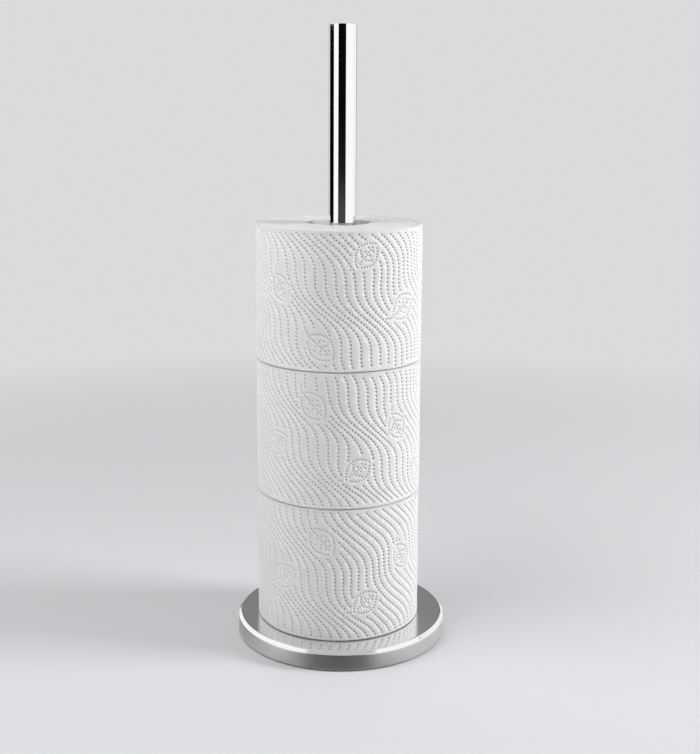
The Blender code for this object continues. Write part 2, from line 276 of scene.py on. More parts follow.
def lathe(name, profile, materials, columns, sharp_degrees=SHARP_DEGREES):
    """Turns a closed (radius, height, material index) profile about the stand's axis.

    The material index is that of the band from this point to the next.
    """
    profile = supported(profile)
    points = []
    for radius, height, _ in profile:
        for column in range(columns):
            angle = 2 * math.pi * column / columns
            points.append(round_axis(STAND_AXIS, radius, angle, height))
    piece = make_mesh(name, points, ring_faces(len(profile), columns), materials)
    indices = np.repeat([paint for _, _, paint in profile], columns)
    piece.data.polygons.foreach_set("material_index", indices)
    piece.data.set_sharp_from_angle(angle=math.radians(sharp_degrees))
    return piece


def supported(profile):
    """Adds points close to the ends of long stretches, so that their shading stays straight."""
    outline = []
    for index, (radius, height, paint) in enumerate(profile):
        outline.append((radius, height, paint))
        start = Vector((radius, height))
        run = Vector(profile[(index + 1) % len(profile)][:2]) - start
        if run.length > SUPPORT_SPAN:
            for distance in (SUPPORT_GAP, run.length - SUPPORT_GAP):
                spot = start + run.normalized() * distance
                outline.append((spot.x, spot.y, paint))
    return outline


def rounded(corners, steps=4):
    """(radius, height, rounding, material index) corners, each rounded by an arc."""
    outline = []
    for index, (radius, height, rounding, paint) in enumerate(corners):
        corner = Vector((radius, height))
        if rounding == 0:
            outline.append((radius, height, paint))
            continue
        behind = (Vector(corners[index - 1][:2]) - corner).normalized()
        ahead = (Vector(corners[(index + 1) % len(corners)][:2]) - corner).normalized()
        half_angle = behind.angle(ahead) / 2
        centre = corner + (behind + ahead).normalized() * rounding / math.sin(half_angle)
        reach = rounding / math.tan(half_angle)
        start = corner + behind * reach - centre
        end = corner + ahead * reach - centre
        for step in range(steps + 1):
            spot = centre + start.slerp(end, step / steps) * rounding
            outline.append((spot.x, spot.y, paint))
    return outline


# Material helpers

class Nodes:
    """A short way to write a material's nodes."""

    def __init__(self, name, colour, roughness, metallic=0.0):
        self.material = bpy.data.materials.new(name)
        self.material.use_nodes = True
        self.tree = self.material.node_tree
        self.shader = self.tree.nodes["Principled BSDF"]
        self.shader.inputs["Base Color"].default_value = (*colour, 1)
        self.shader.inputs["Roughness"].default_value = roughness
        self.shader.inputs["Metallic"].default_value = metallic

    def add(self, kind, **settings):
        node = self.tree.nodes.new(kind)
        for key, value in settings.items():
            setattr(node, key, value)
        return node

    def link(self, source, target):
        self.tree.links.new(source, target)

    def place(self):
        return self.add("ShaderNodeTexCoord").outputs["Object"]

    def scaled_place(self, scale):
        mapping = self.add("ShaderNodeMapping")
        mapping.inputs["Scale"].default_value = scale
        self.link(self.place(), mapping.inputs["Vector"])
        return mapping.outputs["Vector"]

    def noise(self, vector, scale, detail=3.0, roughness=0.5, distortion=0.0):
        node = self.add("ShaderNodeTexNoise")
        node.inputs["Scale"].default_value = scale
        node.inputs["Detail"].default_value = detail
        node.inputs["Roughness"].default_value = roughness
        node.inputs["Distortion"].default_value = distortion
        self.link(vector, node.inputs["Vector"])
        return node.outputs["Fac"]

    def ramp(self, value, stops):
        """Colours by value; stops are (position, colour) pairs."""
        node = self.add("ShaderNodeValToRGB")
        elements = node.color_ramp.elements
        while len(elements) < len(stops):
            elements.new(1.0)
        for element, (position, colour) in zip(elements, stops):
            element.position = position
            element.color = (*colour, 1)
        self.link(value, node.inputs["Fac"])
        return node.outputs["Color"]

    def fade(self, value, low_colour, high_colour):
        """From one colour to the other over the middle values that noise mostly has."""
        return self.ramp(value, [(NOISE_LOW, low_colour), (NOISE_HIGH, high_colour)])

    def span(self, value, low, high, from_low=0.0, from_high=1.0):
        node = self.add("ShaderNodeMapRange")
        node.inputs["From Min"].default_value = from_low
        node.inputs["From Max"].default_value = from_high
        node.inputs["To Min"].default_value = low
        node.inputs["To Max"].default_value = high
        self.link(value, node.inputs["Value"])
        return node.outputs["Result"]

    def math(self, operation, *values):
        node = self.add("ShaderNodeMath", operation=operation)
        for index, value in enumerate(values):
            if isinstance(value, (int, float)):
                node.inputs[index].default_value = value
            else:
                self.link(value, node.inputs[index])
        return node.outputs["Value"]

    def multiply_colour(self, colour, factor):
        node = self.add("ShaderNodeMix", data_type="RGBA", blend_type="MULTIPLY")
        node.inputs["Factor"].default_value = 1.0
        self.link(colour, node.inputs[6])
        self.link(factor, node.inputs[7])
        return node.outputs[2]

    def coordinate(self, axis):
        parts = self.add("ShaderNodeSeparateXYZ")
        self.link(self.place(), parts.inputs["Vector"])
        return parts.outputs[axis]

    def radius(self):
        """Distance from the object's vertical axis."""
        squares = [self.math("MULTIPLY", self.coordinate(axis), self.coordinate(axis)) for axis in "XY"]
        return self.math("SQRT", self.math("ADD", *squares))

    def ringed(self, value):
        """Coordinates of the distance from the axis and a value."""
        rings = self.add("ShaderNodeCombineXYZ")
        self.link(self.radius(), rings.inputs["X"])
        self.link(value, rings.inputs["Y"])
        return rings.outputs["Vector"]

    def bump(self, height, distance, strength=1.0, after=None):
        node = self.add("ShaderNodeBump")
        node.inputs["Strength"].default_value = strength
        node.inputs["Distance"].default_value = distance
        self.link(height, node.inputs["Height"])
        if after is not None:
            self.link(after, node.inputs["Normal"])
        return node.outputs["Normal"]

    def gloss(self, level):
        self.shader.inputs["Specular IOR Level"].default_value = level

    def colour(self, value):
        self.link(value, self.shader.inputs["Base Color"])

    def roughness(self, value):
        self.link(value, self.shader.inputs["Roughness"])

    def normal(self, value):
        self.link(value, self.shader.inputs["Normal"])


# Materials

def tissue_material():
    nodes = Nodes("tissue", (0.86, 0.86, 0.87), 0.95)
    place = nodes.place()
    mottle = nodes.noise(place, scale=60.0, detail=4.0, roughness=0.6)
    tint = nodes.fade(mottle, (0.96, 0.96, 0.97), (1, 1, 1))
    # Painted light and shade at the dots: white is a painted highlight on each dot's lit rim, 0.85 grey is
    # plain paper, and dark grey is painted shade in the dot's floor
    painted_dot_shading = nodes.add("ShaderNodeAttribute", attribute_name="painted_dot_shading").outputs["Fac"]
    shades = [(0.1, (1, 1, 1)), (PAINTED_SHADING_NEUTRAL, (0.85, 0.85, 0.85)), (0.95, (0.22, 0.22, 0.23))]
    shade = nodes.ramp(painted_dot_shading, shades)
    fleck = nodes.noise(place, scale=850.0, detail=2.0, roughness=0.6)
    speck = nodes.fade(fleck, (0.91, 0.91, 0.91), (1, 1, 1))
    nodes.colour(nodes.multiply_colour(nodes.multiply_colour(tint, speck), shade))
    flattened = nodes.scaled_place((1.0, 1.0, 2.2))
    fibres = nodes.noise(flattened, scale=1500.0, detail=5.0, roughness=0.65, distortion=0.4)
    crepe = nodes.noise(nodes.scaled_place((1.0, 1.0, 0.35)), scale=700.0, detail=2.0, roughness=0.5)
    normal = nodes.bump(fibres, distance=0.09 * MM, strength=0.8)
    nodes.normal(nodes.bump(crepe, distance=0.12 * MM, strength=0.7, after=normal))
    nodes.roughness(nodes.span(mottle, 0.9, 1.0))
    nodes.gloss(PAPER_GLOSS)
    return nodes.material


def tissue_end_material():
    """Cut edges of the wound layers: fine uneven rings, with soft clouds over them."""
    nodes = Nodes("tissue_end", (0.84, 0.84, 0.85), 0.95)
    drift = nodes.noise(nodes.place(), scale=24.0, detail=2.0, roughness=0.5)
    stretched = nodes.add("ShaderNodeVectorMath", operation="MULTIPLY")
    stretched.inputs[1].default_value = (1.0, 0.012, 1.0)
    nodes.link(nodes.ringed(drift), stretched.inputs[0])
    layers = nodes.noise(stretched.outputs["Vector"], scale=1700.0, detail=3.0, roughness=0.6)
    cloud = nodes.noise(nodes.place(), scale=75.0, detail=4.0, roughness=0.6)
    tint = nodes.fade(cloud, (0.70, 0.70, 0.71), (0.82, 0.82, 0.825))
    lines = nodes.fade(layers, (0.88, 0.88, 0.88), (1, 1, 1))
    nodes.colour(nodes.multiply_colour(tint, lines))
    fibres = nodes.noise(nodes.place(), scale=1300.0, detail=5.0, roughness=0.65, distortion=0.4)
    normal = nodes.bump(fibres, distance=0.07 * MM, strength=0.7)
    nodes.normal(nodes.bump(layers, distance=0.1 * MM, strength=0.5, after=normal))
    nodes.roughness(nodes.span(cloud, 0.9, 1.0))
    nodes.gloss(PAPER_GLOSS)
    return nodes.material


def cardboard_material():
    nodes = Nodes("cardboard", (0.68, 0.665, 0.645), 0.9)
    fleck = nodes.noise(nodes.scaled_place((1.0, 1.0, 0.6)), scale=900.0, detail=5.0, roughness=0.7)
    blotch = nodes.noise(nodes.place(), scale=90.0, detail=3.0, roughness=0.5)
    grain = nodes.ramp(fleck, [(0.32, (0.72, 0.71, 0.695)), (0.68, (0.86, 0.85, 0.835))])
    cloud = nodes.fade(blotch, (0.93, 0.93, 0.93), (1, 1, 1))
    nodes.colour(nodes.multiply_colour(grain, cloud))
    nodes.roughness(nodes.span(fleck, 0.82, 0.98))
    nodes.normal(nodes.bump(fleck, distance=0.08 * MM, strength=0.6))
    return nodes.material


def satin_material(name, tone, haze, low, high, stretch):
    """Steel brushed in rings round the axis, with a little scattering haze."""
    nodes = Nodes(name, (tone, tone, tone), low, 1 - haze)
    brushing = nodes.noise(nodes.ringed(nodes.coordinate("Z")), scale=5200.0, detail=3.0, roughness=0.7)
    cloud = nodes.noise(nodes.place(), scale=38.0, detail=4.0, roughness=0.55)
    grain = nodes.noise(nodes.place(), scale=1400.0, detail=2.0, roughness=0.6)
    tint = nodes.fade(cloud, (tone - 0.03,) * 3, (tone + 0.03,) * 3)
    lines = nodes.ramp(brushing, [(0.35, (0.94, 0.94, 0.94)), (0.65, (1, 1, 1))])
    nodes.colour(nodes.multiply_colour(tint, lines))
    nodes.roughness(nodes.math("ADD", nodes.span(cloud, low, high), nodes.span(grain, -0.02, 0.03)))
    normal = nodes.bump(brushing, distance=0.004 * MM, strength=0.5)
    nodes.normal(nodes.bump(grain, distance=0.006 * MM, strength=0.5, after=normal))
    tangent = nodes.add("ShaderNodeTangent", direction_type="RADIAL", axis="Z")
    nodes.link(tangent.outputs["Tangent"], nodes.shader.inputs["Tangent"])
    nodes.shader.inputs["Anisotropic"].default_value = stretch
    nodes.shader.inputs["Anisotropic Rotation"].default_value = 0.25
    return nodes.material


def mirror_material(name, colour, low, high):
    """Polished chrome or steel with the faintest polishing haze."""
    nodes = Nodes(name, colour, low, 1.0)
    haze = nodes.noise(nodes.place(), scale=55.0, detail=4.0, roughness=0.6)
    tone = tuple(0.985 * channel for channel in colour)
    nodes.colour(nodes.fade(haze, tone, colour))
    nodes.roughness(nodes.span(haze, low, high, NOISE_LOW, NOISE_HIGH))
    ripple = nodes.noise(nodes.scaled_place((1.0, 1.0, 0.15)), scale=140.0, detail=2.0, roughness=0.4)
    nodes.normal(nodes.bump(ripple, distance=0.004 * MM, strength=0.3))
    return nodes.material


def foam_material():
    nodes = Nodes("foam_rubber", (0.022, 0.022, 0.024), 0.9)
    cells = nodes.noise(nodes.place(), scale=1100.0, detail=4.0, roughness=0.7)
    nodes.colour(nodes.fade(cells, (0.014, 0.014, 0.015), (0.034, 0.034, 0.036)))
    nodes.roughness(nodes.span(cells, 0.8, 1.0))
    nodes.normal(nodes.bump(cells, distance=0.15 * MM, strength=0.7))
    return nodes.material


def cast_iron_material():
    nodes = Nodes("cast_iron", (0.08, 0.08, 0.085), 0.6, 0.5)
    sand = nodes.noise(nodes.place(), scale=700.0, detail=5.0, roughness=0.7)
    cloud = nodes.noise(nodes.place(), scale=45.0, detail=3.0, roughness=0.5)
    nodes.colour(nodes.fade(cloud, (0.06, 0.06, 0.065), (0.10, 0.10, 0.105)))
    nodes.roughness(nodes.span(sand, 0.5, 0.8))
    nodes.normal(nodes.bump(sand, distance=0.2 * MM, strength=0.6))
    return nodes.material


def zinc_material():
    nodes = Nodes("zinc_steel", (0.6, 0.61, 0.63), 0.35, 1.0)
    spangle = nodes.noise(nodes.place(), scale=420.0, detail=3.0, roughness=0.6)
    nodes.colour(nodes.fade(spangle, (0.52, 0.53, 0.56), (0.68, 0.69, 0.70)))
    nodes.roughness(nodes.span(spangle, 0.28, 0.45))
    nodes.normal(nodes.bump(spangle, distance=0.01 * MM, strength=0.5))
    return nodes.material


# Embossing: dots on the unrolled outer sheet, in millimetres

class Leaf:
    """A pointed leaf pressed into the sheet, with its outline, midrib and side veins in dots."""

    def __init__(self, across, up, length, width, turn):
        self.across = across
        self.up = up
        self.length = length
        self.width = width
        self.turn = turn

    def half_width(self, share):
        return self.width / 2 * np.sin(np.pi * np.clip(share, 0, 1)) ** LEAF_FULLNESS

    def local(self, across, up):
        """Coordinates along and beside the midrib, from the leaf's middle."""
        side = across - self.across
        rise = up - self.up
        along = side * math.cos(self.turn) + rise * math.sin(self.turn)
        beside = rise * math.cos(self.turn) - side * math.sin(self.turn)
        return along, beside

    def inside(self, across, up, scale, margin=0.0):
        along, beside = self.local(across, up)
        share = along / (self.length * scale + 2 * margin) + 0.5
        return (abs(share - 0.5) < 0.5) & (abs(beside) < self.half_width(share) * scale + margin)

    def depth(self, across, up):
        """The pressed-in floor, with an even slope between its edge and the outline."""
        steps = np.linspace(LEAF_FLOOR_SHARE, 1, LEAF_SLOPE_STEPS)
        return LEAF_DEPTH * sum(self.inside(across, up, scale) for scale in steps) / len(steps)

    def strokes(self):
        """Polylines in the leaf's own (along, beside) coordinates."""
        shares = np.linspace(0, 1, LEAF_EDGE_POINTS)
        edge = np.stack((self.length * (shares - 0.5), self.half_width(shares)), 1)
        yield edge
        yield edge[1:-1] * (1, -1)
        yield np.array([(self.length * along, self.width * beside) for along, beside in LEAF_STEM])
        for side in (-1, 1):
            for share in LEAF_VEINS:
                start = self.length * (share - 0.5) + VEIN_START
                reach = float(self.half_width(share + VEIN_ADVANCE)) - LEAF_PITCH
                tip = start + VEIN_SLANT * (reach - LEAF_PITCH)
                yield np.array([(start, side * LEAF_PITCH), (tip, side * reach)])

    def dots(self):
        for stroke in self.strokes():
            for along, beside in spaced(stroke, LEAF_PITCH):
                across = self.across + along * math.cos(self.turn) - beside * math.sin(self.turn)
                up = self.up + along * math.sin(self.turn) + beside * math.cos(self.turn)
                yield across, up, LEAF_DOT_RADIUS, LEAF_DOT_DEPTH


def spaced(path, pitch):
    """Points at an even pitch along a polyline."""
    lengths = np.concatenate(([0], np.cumsum(np.hypot(*np.diff(path, axis=0).T))))
    count = max(int(round(lengths[-1] / pitch)), 1)
    stations = np.linspace(0, lengths[-1], count + 1)
    return list(zip(np.interp(stations, lengths, path[:, 0]), np.interp(stations, lengths, path[:, 1])))


def place_leaves(place, girth, height):
    leaves = []
    count = len(LEAVES) * LEAF_TURNS_ROUND
    for index in range(count):
        share, length, width, turn = LEAVES[(index + LEAVES_SKIPPED_PER_ROLL * place) % len(LEAVES)]
        across = (index + 0.5) * girth / count
        leaves.append(Leaf(across, share * height, length, width, math.radians(turn)))
    return leaves


def emboss_dots(place, leaves, girth, height):
    """Embossed dots as (across, up, radius, depth): the leaves, and swaying lines that part round them."""
    dots = [dot for leaf in leaves for dot in leaf.dots()]
    up = np.linspace(-LINE_OVERRUN, height + LINE_OVERRUN, LINE_STATIONS)
    line_count = int(round(girth / LINE_SPACING))
    for line in range(-LINES_BEFORE, line_count + LINES_BEYOND):
        start = line * girth / line_count
        lag = LINE_LAG_PER_ROLL * place + LINE_LAG * math.sin(4 * math.pi * start / girth)
        across = start - LINE_DRIFT * up + LINE_SWAY * np.sin(2 * math.pi * up / LINE_PERIOD + lag)
        for leaf in leaves:
            side = across - leaf.across
            near = np.exp(-(side**2 + (up - leaf.up) ** 2) / (2 * LEAF_REACH**2))
            across = across + LEAF_PUSH * near * np.tanh(side / LEAF_PUSH_WIDTH)
        for dot_across, dot_up in spaced(np.stack((across, up), 1), LINE_PITCH):
            if not any(leaf.inside(dot_across, dot_up, 1.0, LEAF_MARGIN) for leaf in leaves):
                dots.append((dot_across, dot_up, DOT_RADIUS, DOT_DEPTH))
    return thinned(dots, girth, height)


def thinned(dots, girth, height):
    """Drops the dots too near an edge of the sheet or an earlier dot."""
    cell = 2 * DOT_RADIUS + DOT_CLEARANCE
    kept = []
    taken = {}
    for dot in dots:
        across, up, radius, _ = dot
        border = radius + DOT_EDGE_CLEARANCE
        if not (border < across < girth - border and border < up < height - border):
            continue
        column = int(across // cell)
        row = int(up // cell)
        around = [(column + x, row + y) for x in (-1, 0, 1) for y in (-1, 0, 1)]
        others = [other for key in around for other in taken.get(key, ())]
        room = radius + DOT_CLEARANCE
        if all(math.hypot(other[0] - across, other[1] - up) > other[2] + room for other in others):
            taken.setdefault((column, row), []).append(dot)
            kept.append(dot)
    return np.array(kept)


def gap_to_dots(points, dots):
    """Distance from each point to the rim of the nearest dot, a block of points at a time."""
    found = []
    for start in range(0, len(points), GAP_BLOCK):
        block = points[start:start + GAP_BLOCK]
        gaps = np.hypot(block[:, None, 0] - dots[None, :, 0], block[:, None, 1] - dots[None, :, 1])
        found.append((gaps - dots[None, :, 2]).min(1))
    return np.concatenate(found)


def ring_angles(count, turn):
    return np.arange(count) * 2 * math.pi / count + turn


def ring_points(dots, share, count, turn):
    angles = ring_angles(count, turn)
    ring = np.stack((np.cos(angles), np.sin(angles)), 1) * share + np.array(DOT_SKEW) * (1 - share)
    return (dots[:, None, :2] + ring[None] * dots[:, None, 2:3]).reshape(-1, 2)


class Sway:
    """Slow in-and-out of the wound sheet, the same on both sides of the join."""

    def __init__(self, chance, girth):
        self.waves = []
        for _ in range(WAVE_COUNT):
            turns = chance.randint(*WAVE_TURNS)
            self.waves.append((
                2 * math.pi * turns / girth,
                chance.uniform(-WAVE_LEAN, WAVE_LEAN),
                chance.uniform(0, 2 * math.pi),
                WAVE_DEPTH * chance.uniform(*WAVE_SHARES) / math.sqrt(WAVE_COUNT),
            ))

    def at(self, across, up):
        return sum(size * np.sin(k * across + m * up + phase) for k, m, phase, size in self.waves)


def even_fill(girth, height, dots):
    """A staggered grid over the sheet, clear of the dots and the edges."""
    row_gap = FILL_SPACING * math.sqrt(3) / 2
    fill = []
    for row in range(int(height / row_gap) + 1):
        shift = FILL_SPACING / 2 * (row % 2)
        for column in range(int(girth / FILL_SPACING)):
            fill.append((SHEET_MARGIN + shift + column * FILL_SPACING, SHEET_MARGIN + row * row_gap))
    fill = np.array(fill)
    fill = fill[(fill[:, 0] < girth - SHEET_MARGIN) & (fill[:, 1] < height - SHEET_MARGIN)]
    return fill[gap_to_dots(fill, dots) > FILL_CLEARANCE]


def sheet_edges(girth, height):
    """Points along the sheet's four edges: bottom, top, left and right."""
    across = np.linspace(0, girth, ROLL_COLUMNS + 1)
    up = np.linspace(0, height, int(height / SIDE_EDGE_SPACING) + 1)[1:-1]
    bottom = np.stack((across, np.zeros(len(across))), 1)
    top = np.stack((across, np.full(len(across), height)), 1)
    left = np.stack((np.zeros(len(up)), up), 1)
    right = np.stack((np.full(len(up), girth), up), 1)
    return bottom, top, left, right


def wound_radius(across, girth):
    """Radius of the spiral that the outer sheet lies on."""
    return ROLL_RADIUS_MM - SHEET_INSET - SHEET_STEP_MM * across / girth


class Roll:
    """The mesh of one wound roll, in millimetres from the foot of its axis."""

    def __init__(self, place, height):
        self.place = place
        self.height = height
        self.side_height = height - 2 * ROLL_EDGE_MM
        self.girth = 2 * math.pi * ROLL_RADIUS_MM
        self.chance = random.Random(ROLL_SEED + place)
        self.sway = Sway(self.chance, self.girth)
        self.across = np.linspace(0, self.girth, ROLL_COLUMNS + 1)
        self.angles = self.across / ROLL_RADIUS_MM
        self.side_radius = wound_radius(self.across, self.girth)
        self.points = []
        # Painted light and shade value of each point, set on the dots
        self.painted_dot_shading_values = []
        self.faces = []
        self.face_slots = []

    def emboss(self):
        """The side: points on the flat sheet, joined by triangles and wound round the axis, with painted
        light and shade at each dot.
        """
        leaves = place_leaves(self.place, self.girth, self.side_height)
        dots = emboss_dots(self.place, leaves, self.girth, self.side_height)
        edges = sheet_edges(self.girth, self.side_height)
        plain = np.concatenate((*edges, even_fill(self.girth, self.side_height, dots)))
        flats = [plain, ring_points(dots, 1.0, DOT_RIM_POINTS, 0.0)]
        # Painted highlight on the rim points that face the light side of each dot
        rim_painted_highlight = -DOT_RIM_PAINTED_HIGHLIGHT * np.maximum(np.cos(ring_angles(DOT_RIM_POINTS, -DOT_PAINTED_LIGHT_SIDE)), 0)
        painted_dot_shading_values = [np.zeros(len(plain)), np.tile(rim_painted_highlight, len(dots))]
        depths = [np.zeros(len(plain)), np.zeros(DOT_RIM_POINTS * len(dots))]
        for share, depth_share, count, turn in DOT_RINGS:
            flats.append(ring_points(dots, share, count, turn))
            # Painted shade on the floor rings, darkest on the side away from the light and stronger deeper
            # in the dot
            far_side_painted_shade = DOT_FLOOR_PAINTED_SHADE - DOT_FLOOR_PAINTED_SHADE * np.cos(ring_angles(count, turn) - DOT_PAINTED_LIGHT_SIDE)
            painted_dot_shading_values.append(np.tile(depth_share * far_side_painted_shade, len(dots)))
            depths.append(np.repeat(dots[:, 3], count) * depth_share)
        flat = np.concatenate(flats)
        gap = np.concatenate((gap_to_dots(plain, dots), np.zeros(len(flat) - len(plain))))
        quilt = QUILT_DEPTH * np.exp(-(gap**2) / (2 * QUILT_WIDTH**2))
        leaf_depth = sum(leaf.depth(flat[:, 0], flat[:, 1]) for leaf in leaves)
        lift = self.sway.at(flat[:, 0], flat[:, 1]) - quilt - np.concatenate(depths) - leaf_depth
        radius = wound_radius(flat[:, 0], self.girth) + lift
        angle = flat[:, 0] / ROLL_RADIUS_MM
        wound = np.stack((radius * np.cos(angle), radius * np.sin(angle), flat[:, 1] + ROLL_EDGE_MM), 1)
        self.points = [tuple(point) for point in wound]
        self.painted_dot_shading_values = list(PAINTED_SHADING_NEUTRAL + np.concatenate(painted_dot_shading_values) * (1 - PAINTED_SHADING_NEUTRAL))
        joined = delaunay_2d_cdt([Vector(spot) for spot in flat], [], [], 0, MERGE_DISTANCE)
        self.add_faces([tuple(face) for face in joined[2]], 0)
        starts = np.cumsum([0] + [len(edge) for edge in edges])
        runs = [list(range(start, end)) for start, end in zip(starts[:-1], starts[1:])]
        self.bottom, self.top, self.left, self.right = runs

    def add_faces(self, faces, slot):
        self.faces += faces
        self.face_slots += [slot] * len(faces)

    def add_row(self, radii, heights, closed):
        """A row of points round the axis; a closed one ends on its first point."""
        start = len(self.points)
        count = ROLL_COLUMNS if closed else ROLL_COLUMNS + 1
        for column in range(count):
            x = radii[column] * math.cos(self.angles[column])
            y = radii[column] * math.sin(self.angles[column])
            self.points.append((x, y, heights[column]))
            # Rows on the rims, ends and bore carry the neutral value, with no painted light or shade
            self.painted_dot_shading_values.append(PAINTED_SHADING_NEUTRAL)
        row = list(range(start, start + count))
        return row + [start] if closed else row

    def sew(self, rows):
        """Faces between rows listed from above to below, in the look of the cut layers."""
        for upper, lower in zip(rows[:-1], rows[1:]):
            self.add_faces([
                (upper[column], lower[column], lower[column + 1], upper[column + 1])
                for column in range(ROLL_COLUMNS)
            ], 1)

    def rim_rows(self, face, sign, edge_up):
        """Open rows over the rounded rim, from the side to the face."""
        drape = self.sway.at(self.across, np.full(len(self.across), edge_up))
        rows = []
        for step in range(1, RIM_STEPS + 1):
            bend = step / RIM_STEPS * math.pi / 2
            radii = self.side_radius + drape - ROLL_EDGE_MM * (1 - math.cos(bend))
            level = face - sign * ROLL_EDGE_MM * (1 - math.sin(bend))
            dip = RIM_DIP * (1 + np.sin(RIM_DIP_WAVES * self.angles + self.place)) * step / RIM_STEPS
            rows.append(self.add_row(radii, np.full(len(self.across), level) - sign * dip, False))
        return rows

    def layer_rows(self, face, sign):
        """Closed rows over the uneven cut layers, from the rim to the bore."""
        chance = self.chance
        outer_radius = self.side_radius.min() - ROLL_EDGE_MM
        ring_count = int((outer_radius - PAPER_BORE_MM - BORE_MARGIN) / RING_SPACING)
        rows = []
        for ring_number in range(1, ring_count + 1):
            base = outer_radius - ring_number * RING_SPACING + chance.uniform(-RING_JITTER, RING_JITTER)
            depth = chance.uniform(*RING_DEPTHS) + (RING_ALTERNATE if ring_number % 2 else 0.0)
            waves = chance.randint(*RING_WANDER_WAVES)
            wander = RING_WANDER * np.sin(waves * self.angles + chance.uniform(*RING_PHASES))
            waves = chance.randint(*RING_RIPPLE_WAVES)
            drop = depth + RING_RIPPLE * (1 + np.sin(waves * self.angles + chance.uniform(*RING_PHASES)))
            rows.append(self.add_row(base + wander, face - sign * drop, True))
        for outside, below in BORE_ROWS:
            radii = np.full(len(self.across), PAPER_BORE_MM + outside)
            rows.append(self.add_row(radii, np.full(len(self.across), face - sign * below), True))
        return rows

    def close_ends(self):
        """The top face, the bottom face and the bore between them."""
        self.top_rows = self.rim_rows(self.height, 1, self.side_height) + self.layer_rows(self.height, 1)
        self.bottom_rows = self.rim_rows(0.0, -1, 0.0) + self.layer_rows(0.0, -1)
        self.sew(self.top_rows[::-1] + [self.top])
        self.sew([self.bottom] + self.bottom_rows)
        self.sew([self.bottom_rows[-1], self.top_rows[-1]])

    def close_free_end(self):
        """The sheet's cut end, one sheet high, between the start and the end of the outer turn."""
        def down_the_end(column, edge):
            over = [row[column] for row in reversed(self.top_rows[:RIM_STEPS])] + [self.top[column]]
            under = [self.bottom[column]] + [row[column] for row in self.bottom_rows[:RIM_STEPS]]
            return over + edge[::-1] + under

        near = down_the_end(0, self.left)
        far = down_the_end(-1, self.right)
        ends = [
            (far[step], far[step + 1], near[step + 1], near[step])
            for step in range(len(near) - 1)
        ]
        ends.append((self.top_rows[RIM_STEPS][0], far[0], near[0]))
        ends.append((self.bottom_rows[RIM_STEPS][0], near[-1], far[-1]))
        self.add_faces(ends, 0)


def build_paper(place, materials):
    """One wound roll: embossed side, soft rims, layered end faces and bore, as one closed mesh."""
    low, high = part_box("core_" + ROLLS[place])
    centre = ((low.x + high.x) / 2, (low.y + high.y) / 2)
    roll = Roll(place, (high.z - low.z) / MM)
    roll.emboss()
    roll.close_ends()
    roll.close_free_end()
    turn = math.radians(FREE_END_DEGREES[place])
    cosine = math.cos(turn)
    sine = math.sin(turn)
    placed = [
        (centre[0] + (x * cosine - y * sine) * MM, centre[1] + (x * sine + y * cosine) * MM, low.z + z * MM)
        for x, y, z in roll.points
    ]
    piece = make_mesh("tissue_roll_" + ROLLS[place], placed, roll.faces, materials)
    # Painted light and shade of the dots, stored on the points for the tissue material
    layer = piece.data.attributes.new("painted_dot_shading", "FLOAT", "POINT")
    layer.data.foreach_set("value", roll.painted_dot_shading_values)
    piece.data.polygons.foreach_set("material_index", roll.face_slots)
    return piece


def build_core(place, material):
    """Cardboard tube with the groove of its spiral-wound ply along the bore."""
    low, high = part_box("core_" + ROLLS[place])
    centre = ((low.x + high.x) / 2, (low.y + high.y) / 2)
    outer = (high.x - low.x) / 2
    height = high.z - low.z
    angles = [2 * math.pi * column / CORE_COLUMNS for column in range(CORE_COLUMNS)]
    points = []
    for row in range(CORE_ROWS + 1):
        rise = height * row / CORE_ROWS
        for angle in angles:
            turn_share = (angle / (2 * math.pi) + rise / PLY_LEAD + place * PLY_TURN_PER_ROLL) % 1.0
            groove = PLY_GROOVE * math.exp(-((turn_share - 0.5) / PLY_GROOVE_WIDTH) ** 2)
            points.append(round_axis(centre, outer - CORE_WALL + groove, angle, low.z + rise))
    for rise in (height, 0):
        points += [round_axis(centre, outer, angle, low.z + rise) for angle in angles]
    faces = ring_faces(len(points) // CORE_COLUMNS, CORE_COLUMNS)
    piece = make_mesh("cardboard_core_" + ROLLS[place], points, faces, [material])
    piece.data.set_sharp_from_angle(angle=math.radians(SHARP_DEGREES))
    return piece


# Metal and rubber pieces, each from (radius, height, rounding, material index) corners

def build_cover(satin, polished, brushed):
    """Pressed cover: satin top, softly rounded bright chamfer, and a brushed skirt with a soft edge."""
    inner = BASE_RADIUS - COVER_SHEET
    top = BASE_TOP_Z
    low = COVER_LOW.z
    inner_chamfer = COVER_CHAMFER - (2 - math.sqrt(2)) * COVER_SHEET
    ceiling = top - COVER_SHEET
    corners = [
        (SCREW_HOLE_RADIUS, top, 0, 0),
        (BASE_RADIUS / 2, top, 0, 0),
        (BASE_RADIUS - COVER_CHAMFER, top, CHAMFER_INNER_ROUND, 1),
        (BASE_RADIUS, top - COVER_CHAMFER, CHAMFER_OUTER_ROUND, 2),
        (BASE_RADIUS, low, COVER_EDGE_ROUND, 2),
        (inner, low, COVER_EDGE_ROUND, 2),
        (inner, ceiling - inner_chamfer, 0, 0),
        (inner - inner_chamfer, ceiling, 0, 0),
        (SCREW_HOLE_RADIUS, ceiling, 0, 0),
    ]
    profile = rounded(corners, steps=8)
    return lathe("satin_base_cover", profile, [satin, polished, brushed], columns=288, sharp_degrees=20)


def build_tube(chrome):
    inner = POLE_RADIUS - POLE_WALL
    corners = [
        (inner, POLE_TOP_Z, TUBE_MOUTH_ROUND, 0),
        (POLE_RADIUS, POLE_TOP_Z, TUBE_END_ROUND, 0),
        (POLE_RADIUS, TUBE_LOW.z, TUBE_FOOT_ROUND, 0),
        (inner, TUBE_LOW.z, 0, 0),
    ]
    return lathe("chrome_pole_tube", rounded(corners), [chrome], columns=192)


